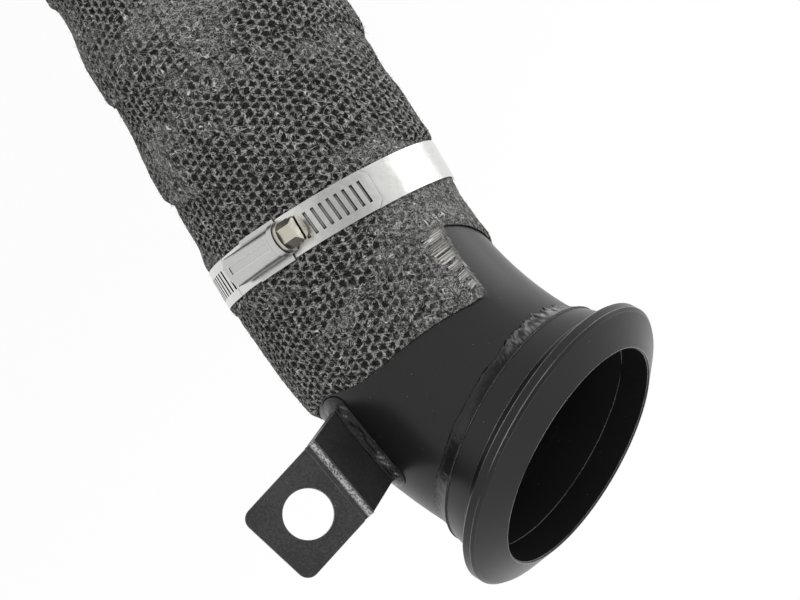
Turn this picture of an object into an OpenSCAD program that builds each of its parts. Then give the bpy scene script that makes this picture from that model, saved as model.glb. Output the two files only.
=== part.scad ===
// Turbo downpipe: a bent exhaust tube with a turbo flange, a hanger bracket,
// a wound heat wrap and the two worm-drive clamps that hold the wrap.
//
// Lengths are in millimetres. The origin is the centre of the flange's mouth and
// +Z points out of the mouth, towards the turbocharger. The tube runs down from
// the mouth and bends towards -X. A "station" is a length along the centre line
// from the mouth. An angle "round the tube" is 0 on the outside of the elbow.

/* [Tube] */
// Outside diameter of the tube
tube_od = 76.2; // [72:0.1:80]
// Wall of the tube
tube_wall = 1.65; // [1.2:0.05:2.5]
// Length from the flange's mouth to the start of the elbow
mouth_to_bend = 24; // [24:1:40]
// Radius of the elbow's centre line
bend_radius = 127; // [115:1:152]
// Angle of the elbow
bend_angle = 36; // [28:1:44]
// Straight run after the elbow
run_length = 300; // [260:5:400]

/* [Turbo flange] */
// Outside diameter of the flange's rim
flange_od = 95; // [93:0.5:104]
// Depth of the seat cone, from the mouth to the rim
seat_depth = 5.5; // [4:0.5:8]
// Width of the rim
rim_width = 3.6; // [2.5:0.1:6]
// Height of the sloping face behind the rim
back_height = 3.1; // [2:0.1:4]
// Depth at which the tube's end meets the shoulder inside the flange
socket_depth = 10.2; // [8:0.1:12]
// Depth of the neck's end
neck_depth = 20.5; // [19:0.5:22]
// Thickness of the neck at its end
neck_wall = 1.8; // [1.4:0.1:2.4]
// Thickness of the neck where it leaves the sloping face
neck_root = 3.9; // [3:0.1:5]
// Clearance between the tube and the flange's socket
socket_clearance = 0.1; // [0.05:0.05:0.3]
// Size of the small bevels on the flange's edges
edge_bevel = 0.5; // [0.2:0.1:1]

/* [Flange weld] */
// Length of the bead along the tube
flange_bead_w = 4.4; // [3:0.1:5]
// Height of the bead above the tube
flange_bead_h = 2.3; // [1.6:0.1:3]
// Number of ripples round the tube
flange_ripples = 66; // [40:1:90]

/* [Bracket] */
// Thickness of the bracket's plate
plate_t = 3; // [2:0.5:4]
// Width of the plate
plate_w = 27; // [25:1:32]
// Length of the web, from the tube to the bend
web_length = 24.5; // [18:0.5:26]
// Length of the tab, from the bend to its free edge
tab_length = 26; // [23:0.5:34]
// Bend angle between the web and the tab
tab_bend = 58; // [40:1:90]
// Inner radius of the bend
tab_bend_r = 1.5; // [1:0.5:3]
// Angle by which the bend is out of square with the plate's sides
tab_skew = 7.5; // [0:0.5:9]
// Radius of the tab's two corners
corner_r = 3.5; // [2:0.5:6]
// Diameter of the mounting hole
hole_d = 15; // [10:0.5:17]
// Distance from the free edge to the hole's centre
hole_to_edge = 14.5; // [12:0.5:15]
// Station of the bracket's foot
bracket_station = 50.5; // [48:1:70]
// Place of the bracket's foot round the tube
bracket_round = -69; // [-100:1:-40]
// Turn of the foot from the line of the tube
bracket_turn = -19; // [-30:1:0]
// Lean of the web from straight out
bracket_lean = -36; // [-40:1:0]
// Leg of the fillet weld round the foot
foot_bead = 2.6; // [2:0.1:4]

/* [Heat wrap] */
// Width of the strip
strip_w = 50.8; // [48:0.1:52]
// Thickness of the strip
strip_t = 1.3; // [1:0.1:1.8]
// Height of the ribs of the weave
rib_h = 0.35; // [0.1:0.05:0.5]
// Advance of the strip in one turn on the straight run
wrap_lead = 36.4; // [34:0.2:38]
// Bare length of tube left at the far end
bare_end = 45; // [30:1:70]
// Slant of the cut end, as an angle round the tube
cut_slant = 9; // [0:1:12]
// Clearance between the strip and the tube
lay_clearance = 0.16; // [0.15:0.01:0.3]
// Clearance between the strip's turns
turn_clearance = 0.1; // [0.1:0.05:0.3]

/* [Clamps] */
// Width of the clamp's band
band_w = 13; // [12:0.1:14]
// Thickness of the clamp's band
band_t = 0.6; // [0.5:0.05:0.8]
// Clearance between the clamp's pieces
clamp_clearance = 0.1; // [0.05:0.05:0.2]
// Share of its height that the cloth keeps under a band
squeezed = 0.64; // [0.6:0.02:1]
// Bare wrap beyond the second clamp's band
clamp_2_inset = 5; // [3:1:20]
// Distance between the slots in the band
slot_pitch = 2.65; // [2.4:0.05:3]
// Width of a slot
slot_w = 1.1; // [0.6:0.1:1.3]
// Length of a slot
slot_length = 7.6; // [5:0.1:8]
// Slant of the slots
slot_slant = 5; // [0:1:8]
// Angle from the housing to the end of the band's tail
tail_angle = 55; // [50:1:80]
// Radius of the worm
worm_r = 3.5; // [3:0.1:4]
// Thickness of the housing's steel
housing_t = 0.8; // [0.6:0.1:1]
// Length of the housing's barrel
barrel_length = 20.8; // [16:0.2:24]
// Reach of the housing's foot from its middle towards the screw's head
foot_ahead = 8; // [5:0.5:8]
// Reach of the housing's foot from its middle the other way
foot_behind = 5.5; // [4:0.5:8]
// Thickness of the foot's skirts beside the band
skirt_t = 0.4; // [0.3:0.1:0.8]
// Width of the screw's hexagon across flats
hex_width = 7.6; // [7:0.1:9]
// Height of the hexagon
hex_height = 5.4; // [3:0.1:6]
// Radius of the screw's collar
screw_collar_r = 4.8; // [4.4:0.1:5.4]
// Width of the screwdriver slot
driver_slot = 1.3; // [1:0.1:2]
// Place of the first clamp's housing round the tube
clamp_1_round = -100.5; // [-130:0.5:-60]
// Place of the second clamp's housing round the tube
clamp_2_round = 84; // [0:1:180]

/* [Hidden] */
$fn = 64;

coat = [0.10, 0.10, 0.11];
bead_grey = [0.20, 0.20, 0.21];
cloth = [0.30, 0.30, 0.29];
steel = [0.78, 0.78, 0.77];
nickel = [0.62, 0.58, 0.50];

// How far a cutting shape passes through what it cuts
past = 1;
// Overlap of two stretches of one piece where they join
seam = 0.02;
// The elbow's radius is less than the straight tube's by this much, and a bent plate
// or band is drawn thinner by this much on either side
bend_draw = 0.05;
tube_r = tube_od / 2;
bore_r = tube_r - tube_wall;
bend_length = bend_radius * bend_angle * PI / 180;
bend_end = mouth_to_bend + bend_length;
tube_end = bend_end + run_length;

// Centre line of the tube

// Angle through which the centre line has turned at station s
function turned(s) =
    bend_angle * min(max((s - mouth_to_bend) / bend_length, 0), 1);

// Point of the centre line at station s
function axis_point(s) =
    let (
        a = turned(s),
        before = min(s, mouth_to_bend),
        after = max(s - bend_end, 0)
    )
    [
        -bend_radius * (1 - cos(a)) - after * sin(a),
        0,
        -before - bend_radius * sin(a) - after * cos(a)
    ];

// Point at station s, angle f round the tube and radius r from the centre line
function round_tube(s, f, r) =
    let (a = turned(s))
    axis_point(s) + r * [cos(f) * cos(a), sin(f), -cos(f) * sin(a)];

// Moves its children to station s, with +Z along the tube towards the mouth
module at_station(s) {
    translate(axis_point(s)) rotate([0, turned(s), 0]) children();
}

// Round bar of radius r along the centre line, from the tube's first end to its
// last and further by the length given. Bending draws the elbow a hair thinner.
module bar_along(r, further) {
    translate([0, 0, -mouth_to_bend - seam])
        cylinder(h = mouth_to_bend - socket_depth + further + seam, r = r);
    translate([-bend_radius, 0, -mouth_to_bend])
        rotate([-90, 0, 0])
            rotate_extrude(angle = bend_angle, $fn = 180)
                translate([bend_radius, 0]) circle(r = r - bend_draw);
    at_station(tube_end + further) cylinder(h = run_length + further + seam, r = r);
}

// Faces of a closed tube-like skin: rings of n points, count rings, no ends
function skin(n, count, closed) = [
    for (i = [0:count - (closed ? 1 : 2)])
        for (j = [0:n - 1])
            let (
                a = i * n + j,
                b = i * n + (j + 1) % n,
                c = ((i + 1) % count) * n + (j + 1) % n,
                d = ((i + 1) % count) * n + j
            )
            each [[a, c, b], [a, d, c]]
];

// Tube
module downpipe_tube() {
    color(coat)
        difference() {
            bar_along(tube_r, 0);
            bar_along(bore_r, past);
        }
}

// Turbo flange: one turned ring, drawn as its half section
flange_r = flange_od / 2;
socket_r = tube_r + socket_clearance;
rim_back = seat_depth + rim_width;
neck_start = rim_back + back_height;

module turbo_flange() {
    color(coat)
        rotate_extrude($fn = 180)
            polygon([
                [bore_r, -edge_bevel],
                [bore_r + edge_bevel, 0],
                [flange_r - 2 * edge_bevel, edge_bevel - seat_depth],
                [flange_r, -edge_bevel - seat_depth],
                [flange_r, edge_bevel - rim_back],
                [flange_r - edge_bevel, -rim_back],
                [socket_r + neck_root, -neck_start],
                [socket_r + neck_wall, -neck_depth],
                [socket_r, -neck_depth],
                [socket_r, -socket_depth],
                [bore_r, -socket_depth]
            ]);
}

// Flange weld: a ring of ripples laid in the corner of neck and tube
bead_clearance = 0.08;
flange_bead_steps = 2 * round(flange_ripples);
// Ripples stand out by this much
ripple = 0.35;

function flange_bead_ring(k) =
    let (
        f = 360 * k / flange_bead_steps,
        swell = k % 2 == 0 ? ripple : 0,
        s = neck_depth + bead_clearance,
        r = (tube_r + bead_clearance) / cos(180 / flange_bead_steps)
    )
    [
        round_tube(s, f, r),
        round_tube(s, f, r + flange_bead_h - ripple + swell),
        round_tube(s + 0.55 * flange_bead_w, f, r + 0.6 * flange_bead_h - ripple + swell),
        round_tube(s + flange_bead_w - ripple + swell, f, r)
    ];

module flange_weld() {
    color(bead_grey)
        polyhedron(
            points = [for (k = [0:flange_bead_steps - 1]) each flange_bead_ring(k)],
            faces = skin(4, flange_bead_steps, true)
        );
}

// Bracket: a flat web, a bend and a flat tab, all of one plate.
// Its own frame has +X along the web, +Z along the foot and the tab turned to +Y.
bend_outer_r = tab_bend_r + plate_t;
// The bend takes this much of the plate's middle line
bend_take = (tab_bend_r + plate_t / 2) * tab_bend * PI / 180;
// Sideways shift of the sides over a length of plate
function side_shift(length) = length * tan(tab_skew);
foot_gap = 0.05;

module at_bracket() {
    at_station(bracket_station)
        rotate([0, 0, bracket_round])
            translate([tube_r, 0, 0])
                rotate([bracket_turn, 0, 0])
                    rotate([0, 0, bracket_lean])
                        children();
}

// Outline of a flat stretch of plate, from one length along the web to another
module plate_outline(from_x, to_x) {
    half_w = plate_w / 2 / cos(tab_skew);
    polygon([
        [from_x, side_shift(from_x) - half_w],
        [to_x, side_shift(to_x) - half_w],
        [to_x, side_shift(to_x) + half_w],
        [from_x, side_shift(from_x) + half_w]
    ]);
}

// Moves its children from the web's plane to the tab's plane, at the bend
module past_bend() {
    translate([web_length, bend_outer_r, 0])
        rotate([0, 0, tab_bend])
            translate([0, -bend_outer_r, 0])
                children();
}

// Tab's outline in its own plane, with its free edge square to its sides
module tab_outline() {
    start = web_length + bend_take;
    translate([0, side_shift(start)])
        rotate(tab_skew)
            difference() {
                union() {
                    translate([-past - plate_w * sin(tab_skew), -plate_w / 2])
                        square([tab_length + past + plate_w * sin(tab_skew) - corner_r, plate_w]);
                    translate([0, corner_r - plate_w / 2])
                        square([tab_length, plate_w - 2 * corner_r]);
                    for (side = [-1, 1])
                        translate([tab_length - corner_r, side * (plate_w / 2 - corner_r)])
                            circle(r = corner_r);
                }
                translate([tab_length - hole_to_edge, 0]) circle(d = hole_d);
            }
}

module bracket() {
    foot_reach = plate_w / 2;
    bend_low = side_shift(web_length + bend_take / 2) - plate_w / 2 / cos(tab_skew);
    color(coat)
        difference() {
            at_bracket() {
                // Web, from inside the tube's line to the bend
                translate([0, plate_t, 0])
                    rotate([90, 0, 0])
                        linear_extrude(plate_t) plate_outline(-foot_reach, web_length + seam);
                // Bend
                translate([web_length, bend_outer_r, bend_low])
                    rotate([0, 0, -90])
                        rotate_extrude(angle = tab_bend, $fn = 96)
                            translate([tab_bend_r + bend_draw, 0])
                                square([plate_t - 2 * bend_draw, plate_w / cos(tab_skew)]);
                // Tab
                past_bend()
                    translate([0, plate_t, 0])
                        rotate([90, 0, 0])
                            linear_extrude(plate_t)
                                intersection() {
                                    tab_outline();
                                    translate([-seam, -2 * plate_w])
                                        square([2 * tab_length, 4 * plate_w]);
                                }
            }
            // Coped to the tube
            bar_along(tube_r + foot_gap, 0);
        }
}

// Bracket weld: one bead laid round the foot of the web.
// A place on the tube is found from a point of the foot's plane by going down
// along the web until the tube's surface is met.

// The same turns as at_bracket(), for a vector
function turn_x(v, a) = [v.x, v.y * cos(a) - v.z * sin(a), v.y * sin(a) + v.z * cos(a)];
function turn_y(v, a) = [v.x * cos(a) + v.z * sin(a), v.y, v.z * cos(a) - v.x * sin(a)];
function turn_z(v, a) = [v.x * cos(a) - v.y * sin(a), v.x * sin(a) + v.y * cos(a), v.z];

// Point of the bracket's own frame in the part's frame
function bracket_point(v) =
    let (
        w = turn_x(turn_z(v, bracket_lean), bracket_turn),
        u = turn_z(w + [tube_r, 0, 0], bracket_round)
    )
    axis_point(bracket_station) + turn_y(u, turned(bracket_station));

// Distance of a point near the elbow from the centre line
function off_axis(p) =
    let (q = norm([p.x + bend_radius, p.z + mouth_to_bend]))
    norm([q - bend_radius, p.y]);

// Point of the foot: x along the web, y across the plate, z along the tube
function foot_point(x, y, z) = bracket_point([x, y, side_shift(x) + z]);

// Height along the web at which the tube is met, above the point [y, z] of the foot
function foot_height(y, z, x = 0, tries = 8) =
    tries == 0 ? x
    : foot_height(
        y, z,
        x - (off_axis(foot_point(x, y, z)) - tube_r - bead_clearance) / cos(bracket_lean),
        tries - 1
    );

// Half the width of the foot along the tube
foot_half = plate_w / 2 / cos(tab_skew);
foot_ripples = 44;
foot_bead_steps = 2 * foot_ripples;
foot_bead_ripple = 0.3;

// Outline of the foot as [y, z, direction out of the plate], going round it once
function foot_outline(k) =
    let (
        long_side = 2 * foot_half,
        end_turn = 6,
        side_steps = foot_bead_steps / 2 - end_turn,
        half = k < foot_bead_steps / 2 ? 0 : 1,
        i = k - half * foot_bead_steps / 2,
        along = min(i, side_steps) / side_steps,
        swing = max(i - side_steps, 0) / end_turn,
        y = half == 0 ? -bead_clearance : plate_t + bead_clearance,
        other = half == 0 ? plate_t + bead_clearance : -bead_clearance,
        z = (half == 0 ? 1 : -1) * (along - 0.5) * (long_side + 2 * bead_clearance),
        a = 180 - 180 * half - 180 * swing
    )
    [swing > 0 ? y + (other - y) * swing : y, z, a];

// The ring's four corners: the root, the toe on the tube, the bulge and the toe on the web
function foot_bead_ring(k) =
    let (
        at = foot_outline(k),
        leg = foot_bead - (k % 2 == 0 ? 0 : foot_bead_ripple),
        out = [cos(at[2]), sin(at[2])],
        toe = [at[0], at[1]] + leg * out,
        bulge = [at[0], at[1]] + 0.62 * leg * out,
        root_x = foot_height(at[0], at[1])
    )
    [
        foot_point(root_x, at[0], at[1]),
        foot_point(foot_height(toe.x, toe.y), toe.x, toe.y),
        foot_point(foot_height(bulge.x, bulge.y) + 0.55 * leg, bulge.x, bulge.y),
        foot_point(root_x + leg, at[0], at[1])
    ];

module bracket_weld() {
    color(bead_grey)
        polyhedron(
            points = [for (k = [0:foot_bead_steps - 1]) each foot_bead_ring(k)],
            faces = skin(4, foot_bead_steps, true)
        );
}

// Heat wrap: one strip wound from the flange's side to the far end.
// Its length round the tube is counted in degrees of winding from the cut end,
// and x is the distance across the strip from the edge that faces the flange.

// Place round the tube of the strip's cut end
cut_round = -164;
// Stations of the strip's edge as laid by hand on the elbow: degrees, station
first_lay = [
    [0, 48], [33, 53.7], [54, 57.8], [77.5, 61.6], [88, 67.2], [110, 68.2], [300, 69],
    [360, 84], [470, 101], [690, 118],
    [840, 142], [1035, 159], [1190, 177], [1540, 212]
];
laid = first_lay[len(first_lay) - 1];
wrap_end = tube_end - bare_end;
last_edge = wrap_end - strip_w;
// Winding at which the lead stops, and the last turn that is laid square after it
square_from = laid[0] + (last_edge - laid[1]) / wrap_lead * 360;
wrap_step = 15;
wrap_steps = floor((square_from + 360) / wrap_step);
// Clearance of the strip from the tube, and the radius of its under side
under_r = (tube_r + lay_clearance) / cos(wrap_step / 2);
// A turn that lies on the one before is lifted by this much
layer = strip_t + turn_clearance;
// Length over which the strip comes down beside the edge it has covered
come_down = 3;
// Degrees over which the second turn climbs on the cut end
climb = 20;

function edge_route(u) =
    u < laid[0] ? lookup(u, first_lay)
    : min(laid[1] + (u - laid[0]) * wrap_lead / 360, last_edge);
// The route with its corners eased
function edge_station(u) =
    let (ease = 8) (edge_route(u - ease) + edge_route(u) + edge_route(u + ease)) / 3;

// Length along the wrap's surface from the mouth to station s, at angle f round it
function surface_length(s, f) =
    let (stretch = 1 + under_r * cos(f) / bend_radius)
    min(s, mouth_to_bend) + stretch * min(max(s - mouth_to_bend, 0), bend_length)
    + max(s - bend_end, 0);
function station_of(length, f) =
    let (
        stretch = 1 + under_r * cos(f) / bend_radius,
        bent = length - mouth_to_bend
    )
    bent < 0 ? length
    : bent < stretch * bend_length ? mouth_to_bend + bent / stretch
    : bend_end + bent - stretch * bend_length;

// How much of the strip lies on the turn before
function covered(u) =
    let (f = cut_round + u)
    u < 360 ? 0
    : surface_length(edge_station(u - 360), f) + strip_w - surface_length(edge_station(u), f);

// Lift of the strip at x
function lift(u, x) =
    let (c = covered(u) + turn_clearance)
    layer * min(max((u - 360 + climb) / climb, 0), 1)
    * (u < 360 ? 1 : min(max(1 - (x - c) / come_down, 0), 1));

// Share of its height that the cloth keeps at station s, where it is squeezed under a
// band and for a margin beside it, and rises from there
rise_run = 10;
function kept(s, margin) =
    let (
        off_1 = abs(s - clamp_1_station) - band_w / 2 - margin,
        off_2 = abs(s - clamp_2_station) - band_w / 2 - margin
    )
    squeezed + (1 - squeezed) * min(max(min(off_1, off_2) / rise_run, 0), 1);

// Point of the strip at winding u, distance x and height above its under side.
// The cloth is thin over a wider stretch than that on which the next turn dips.
dip_margin = 1;
thin_margin = 5;
function strip_point(u, x, height) =
    let (
        slant = -cut_slant * x / strip_w * max(1 - u / 90, 0),
        f = cut_round + u + slant,
        s = station_of(surface_length(edge_station(u), f) + x, f)
    )
    round_tube(s, f, under_r + lift(u, x) * kept(s, dip_margin) + height * kept(s, thin_margin));

// Across the strip: ribs where it shows, flat where the next turn covers it
rib_pitch = strip_w / 28;
ribs_end = 20;
over_x = concat([for (i = [0:ribs_end]) i * rib_pitch], [0.86 * strip_w, strip_w]);
function over_height(i) = strip_t - (i % 2 == 0 && i < ribs_end ? rib_h : 0);
function under_x(u) =
    let (
        c = min(max(covered(u) + turn_clearance, 1), strip_w - come_down - 6),
        rest = strip_w - c - come_down
    )
    [0, c / 2, c, c + come_down, c + come_down + rest / 3, c + come_down + rest * 2 / 3, strip_w];
over_n = len(over_x);
under_n = 7;
ring_n = over_n + under_n;

function strip_ring(u) =
    let (below = under_x(u))
    concat(
        [for (i = [0:over_n - 1]) strip_point(u, over_x[i], over_height(i))],
        [for (j = [under_n - 1:-1:0]) strip_point(u, below[j], 0)]
    );

// Number of the ring's under point that an over point is joined to at an end
function partner(u, i) =
    let (below = under_x(u))
    len([for (j = [0:under_n - 2]) if (over_x[i] > (below[j] + below[j + 1]) / 2) 1]);
function under_index(first, j) = first + ring_n - 1 - j;
// Faces of one end of the strip
function end_faces(u, first) = [
    for (i = [0:over_n - 2])
        let (j = partner(u, i), k = partner(u, i + 1))
        each concat(
            [[first + i, first + i + 1, under_index(first, j)]],
            [for (m = [j:1:k - 1])
                [first + i + 1, under_index(first, m + 1), under_index(first, m)]]
        )
];
function reversed(faces) = [for (f = faces) [f[2], f[1], f[0]]];

module heat_wrap() {
    last = wrap_steps * wrap_step;
    color(cloth)
        polyhedron(
            points = [for (k = [0:wrap_steps]) each strip_ring(k * wrap_step)],
            faces = concat(
                skin(ring_n, wrap_steps + 1, false),
                end_faces(0, 0),
                reversed(end_faces(last, wrap_steps * ring_n))
            )
        );
}

// Worm-drive clamp. Its own frame has the tube along Z, the housing on top at +Y
// and the screw along +X. Angles are counted round Z from +X.
band_r = under_r + squeezed * (layer + strip_t) + clamp_clearance;
tail_r = band_r + band_t + clamp_clearance;
band_top = tail_r + band_t;
// The screw lies high enough for its worm and its collar to clear the band
lip_out = 0.2;
collar_start = barrel_length / 2 + lip_out + clamp_clearance;
collar_drop = band_top - sqrt(band_top * band_top - collar_start * collar_start);
worm_y = band_top + clamp_clearance + max(worm_r, screw_collar_r - collar_drop);
barrel_r = worm_r + 5 * clamp_clearance + housing_t;
barrel_bore = barrel_r - housing_t;
// The band starts under the housing, runs clockwise round the wrap and climbs over its start
start_angle = 97;
climb_from = 116;
climb_to = 103;
climb_steps = 4;

// Arc of the band, inner radius r, from one angle to the other
module band_arc(r, from_angle, to_angle) {
    translate([0, 0, -band_w / 2])
        rotate([0, 0, from_angle])
            rotate_extrude(angle = to_angle - from_angle, $fn = 180)
                translate([r, 0]) square([band_t, band_w]);
}

function climb_r(a) =
    band_r + (tail_r - band_r) * min(max((climb_from - a) / (climb_from - climb_to), 0), 1);

// The climb reaches a little into both arcs, inside their thickness
module band_climb() {
    lap = 1.5;
    steps = concat(
        [climb_from + lap],
        [for (k = [0:climb_steps]) climb_from + (climb_to - climb_from) * k / climb_steps],
        [climb_to - lap]
    );
    last = len(steps) - 1;
    translate([0, 0, bend_draw - band_w / 2])
        linear_extrude(band_w - 2 * bend_draw)
            polygon(concat(
                [for (a = steps) (climb_r(a) + band_t - 2 * bend_draw) * [cos(a), sin(a)]],
                [for (k = [last:-1:0]) (climb_r(steps[k]) + 2 * bend_draw) * [cos(steps[k]), sin(steps[k])]]
            ));
}

// Slots along the tail, under the housing and on to the left of it
slot_turn = slot_pitch / tail_r * 180 / PI;
first_slot = 90 - tail_angle + 1.4 * slot_turn;
last_slot = 150;

module band_slots() {
    for (a = [first_slot:slot_turn:last_slot])
        rotate([0, 0, a])
            translate([climb_r(a) - clamp_clearance / 2, 0, 0])
                rotate([slot_slant, 0, 0])
                    translate([a > start_angle + 1 ? -band_t : 0, -slot_w / 2, -slot_length / 2])
                        cube([2 * band_t + past, slot_w, slot_length]);
}

// Cuts the two corners of the tail's end
module tail_corners() {
    cut = 2.2;
    for (side = [0, 1])
        rotate([0, 0, 90 - tail_angle])
            mirror([0, 0, side])
                translate([tail_r - clamp_clearance / 2, 0, band_w / 2])
                    rotate([90, 0, 90])
                        linear_extrude(2 * band_t)
                            polygon([[-past, past], [cut + past, past], [-past, -cut - past]]);
}

module clamp_band() {
    color(steel)
        difference() {
            union() {
                band_arc(band_r, climb_from - 360, start_angle);
                band_climb();
                band_arc(tail_r, 90 - tail_angle, climb_to);
            }
            band_slots();
            tail_corners();
        }
}

way_half = band_w / 2 + clamp_clearance;

// Ring sector round the band, from x = ahead to x = -behind at the band's outside
module foot_sector(r1, r2, half_w, ahead, behind) {
    turn_ahead = asin(ahead / band_top);
    turn_behind = asin(behind / band_top);
    translate([0, 0, -half_w])
        rotate([0, 0, 90 - turn_ahead])
            rotate_extrude(angle = turn_ahead + turn_behind, $fn = 180)
                translate([r1, 0]) square([r2 - r1, 2 * half_w]);
}

module clamp_housing() {
    wing_r = band_top + clamp_clearance;
    groove_w = 2.6;
    groove_depth = 0.35;
    lip_w = 1.6;
    lip_h = 0.6;
    half = barrel_length / 2;
    color(steel)
        difference() {
            union() {
                // Wings over the band and skirts down its two edges
                foot_sector(band_r, wing_r + housing_t, way_half + skirt_t, foot_ahead, foot_behind);
                // Barrel and its cheeks
                translate([-half, worm_y, 0])
                    rotate([0, 90, 0]) cylinder(h = barrel_length, r = barrel_r);
                translate([-half, wing_r - housing_t, -barrel_r])
                    cube([barrel_length, worm_y - wing_r + housing_t, 2 * barrel_r]);
                // Rolled lip at the screw's end
                translate([half - lip_w, worm_y, 0])
                    rotate([0, 90, 0]) cylinder(h = lip_w + lip_out, r = barrel_r + lip_h);
            }
            // Way of the band
            foot_sector(band_r - past, wing_r, way_half, half + 2 * past, half + 2 * past);
            // Room for the worm
            translate([-half + housing_t, worm_y, 0])
                rotate([0, 90, 0]) cylinder(h = barrel_length + 2, r = barrel_bore);
            translate([-half + housing_t, wing_r - past, -worm_r - clamp_clearance])
                cube([barrel_length - 2 * housing_t, worm_y - wing_r + past, 2 * (worm_r + clamp_clearance)]);
            // Groove pressed along the top
            translate([-half + 2, worm_y + barrel_r - groove_depth, -groove_w / 2])
                cube([barrel_length - 5, past, groove_w]);
        }
}

module clamp_screw() {
    half = barrel_length / 2;
    lip_end = collar_start;
    worm_length = barrel_length - 2 * housing_t - 1;
    worm_start = -half + housing_t + 0.3;
    ridges = floor(worm_length / slot_pitch);
    ridge_depth = 0.45;
    collar_t = 1.2;
    neck_r = worm_r - 0.8;
    color(nickel)
        translate([0, worm_y, 0])
            rotate([0, 90, 0])
                difference() {
                    union() {
                        // Worm, drawn as ridges at the slots' pitch
                        translate([0, 0, worm_start]) cylinder(h = worm_length, r = worm_r - ridge_depth);
                        for (k = [0:ridges - 1])
                            translate([0, 0, worm_start + 0.4 + k * slot_pitch])
                                cylinder(h = slot_pitch / 2, r = worm_r);
                        translate([0, 0, worm_start]) cylinder(h = lip_end - worm_start, r = neck_r);
                        // Collar and hexagon with bevelled corners
                        translate([0, 0, lip_end]) cylinder(h = collar_t, r = screw_collar_r);
                        intersection() {
                            translate([0, 0, lip_end])
                                cylinder(h = collar_t + hex_height, d = hex_width / cos(30), $fn = 6);
                            rotate_extrude()
                                polygon([
                                    [0, lip_end],
                                    [hex_width * 0.7, lip_end],
                                    [hex_width * 0.6, lip_end + collar_t + hex_height - 0.6],
                                    [hex_width * 0.47, lip_end + collar_t + hex_height],
                                    [0, lip_end + collar_t + hex_height]
                                ]);
                        }
                    }
                    // Screwdriver slot
                    translate([-hex_width, -driver_slot / 2, lip_end + collar_t + hex_height - 2])
                        cube([2 * hex_width, driver_slot, 2 + past]);
                }
}

// Moves a clamp to its station, with its housing at angle f round the tube
module at_clamp(s, f) {
    at_station(s) rotate([0, 0, f - 90]) children();
}

clamp_1_station = bend_end + band_w / 2 + 0.3;
clamp_2_station = wrap_end - band_w / 2 - clamp_2_inset;

module clamp_1_band() at_clamp(clamp_1_station, clamp_1_round) clamp_band();
module clamp_1_housing() at_clamp(clamp_1_station, clamp_1_round) clamp_housing();
module clamp_1_screw() at_clamp(clamp_1_station, clamp_1_round) clamp_screw();
module clamp_2_band() at_clamp(clamp_2_station, clamp_2_round) clamp_band();
module clamp_2_housing() at_clamp(clamp_2_station, clamp_2_round) clamp_housing();
module clamp_2_screw() at_clamp(clamp_2_station, clamp_2_round) clamp_screw();

downpipe_tube();
turbo_flange();
flange_weld();
bracket();
bracket_weld();
heat_wrap();
clamp_1_band();
clamp_1_housing();
clamp_1_screw();
clamp_2_band();
clamp_2_housing();
clamp_2_screw();
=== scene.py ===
"""Looks of a turbo downpipe: coated tube and clamp flange, bracket, knitted heat wrap and two hose clamps.

Lengths are written in millimetres and become metres when a mesh is made.
A place on the tube is a station s along its centre line, counted from the flange's mouth, and an angle round
it, 0 on the outer side of the elbow and 90 towards +Y.
"""

import bpy
import numpy as np
from mathutils import Matrix, Vector

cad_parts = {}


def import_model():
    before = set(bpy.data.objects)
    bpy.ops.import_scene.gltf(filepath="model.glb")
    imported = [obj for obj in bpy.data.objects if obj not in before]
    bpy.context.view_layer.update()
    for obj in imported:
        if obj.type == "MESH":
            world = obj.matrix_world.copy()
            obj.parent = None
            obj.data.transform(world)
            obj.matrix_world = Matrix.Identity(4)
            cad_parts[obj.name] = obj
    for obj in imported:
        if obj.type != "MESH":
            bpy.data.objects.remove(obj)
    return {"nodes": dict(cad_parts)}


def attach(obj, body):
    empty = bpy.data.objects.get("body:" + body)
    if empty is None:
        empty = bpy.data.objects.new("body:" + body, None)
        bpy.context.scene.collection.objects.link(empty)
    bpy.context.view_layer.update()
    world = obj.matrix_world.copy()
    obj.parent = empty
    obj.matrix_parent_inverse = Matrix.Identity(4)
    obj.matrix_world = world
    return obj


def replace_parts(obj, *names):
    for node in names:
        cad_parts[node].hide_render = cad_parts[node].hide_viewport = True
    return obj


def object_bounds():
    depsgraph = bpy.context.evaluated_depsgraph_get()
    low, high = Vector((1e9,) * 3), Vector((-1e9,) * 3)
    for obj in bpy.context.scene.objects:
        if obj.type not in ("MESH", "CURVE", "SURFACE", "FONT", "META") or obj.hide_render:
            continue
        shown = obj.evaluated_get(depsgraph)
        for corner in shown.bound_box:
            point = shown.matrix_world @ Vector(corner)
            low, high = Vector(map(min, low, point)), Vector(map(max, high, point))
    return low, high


MM = 0.001
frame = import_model()
CAD_BOX = [list(corner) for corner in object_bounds()]
NODES = frame["nodes"]

# Tube, in millimetres and degrees
TUBE_R = 38.1
MOUTH_TO_BEND = 24.0
BEND_RADIUS = 127.0
BEND_ANGLE = 36.0
RUN = 300.0
BEND_LENGTH = BEND_RADIUS * np.radians(BEND_ANGLE)
BEND_END = MOUTH_TO_BEND + BEND_LENGTH
TUBE_END = BEND_END + RUN
NECK_DEPTH = 20.5


# Places on the tube

def turned(s):
    """Angle in radians that the centre line has turned through at station s."""
    return np.radians(BEND_ANGLE) * np.clip((s - MOUTH_TO_BEND) / BEND_LENGTH, 0, 1)


def axis_point(s):
    """Centre line: straight down, then a circular elbow towards -X, then straight again."""
    a = turned(s)
    after = np.maximum(s - BEND_END, 0)
    return np.stack(
        [
            -BEND_RADIUS * (1 - np.cos(a)) - after * np.sin(a),
            np.zeros_like(a),
            -np.minimum(s, MOUTH_TO_BEND) - BEND_RADIUS * np.sin(a) - after * np.cos(a),
        ],
        -1,
    )


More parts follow.
